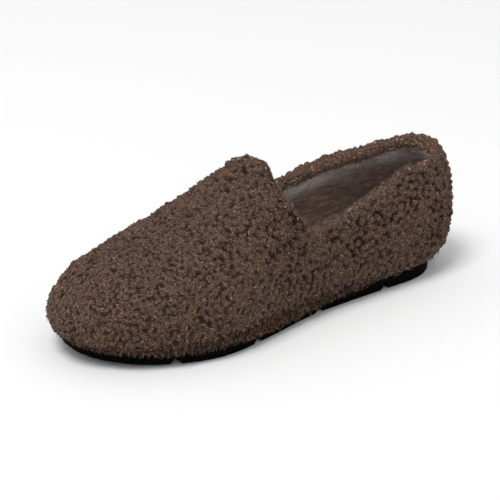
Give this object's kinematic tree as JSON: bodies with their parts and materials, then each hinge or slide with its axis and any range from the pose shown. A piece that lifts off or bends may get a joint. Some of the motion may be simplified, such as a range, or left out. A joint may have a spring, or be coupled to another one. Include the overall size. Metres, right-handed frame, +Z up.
{
  "type": "fuzzy slipper",
  "caption": "Slip-on house slipper with a hollow curly-pile upper, low collar and high vamp, on a padded insole and a thin black rubber sole with flex grooves across the tread.",
  "frame": {"origin": "on the floor, under the middle of the slipper's bounding box", "axes": "+Z up, +Y towards the heel, toe towards -Y, +X towards the outer (lateral) side of the left foot"},
  "size_m": [0.1012, 0.2761, 0.0936],
  "materials": {
    "outsole_rubber": "matte",
    "insole_pile": "short pile",
    "upper_pile": "curly pile"
  },
  "bodies": {
    "root": {"outsole": "outsole_rubber", "insole": "insole_pile", "upper": "upper_pile"}
  },
  "joints": []
}
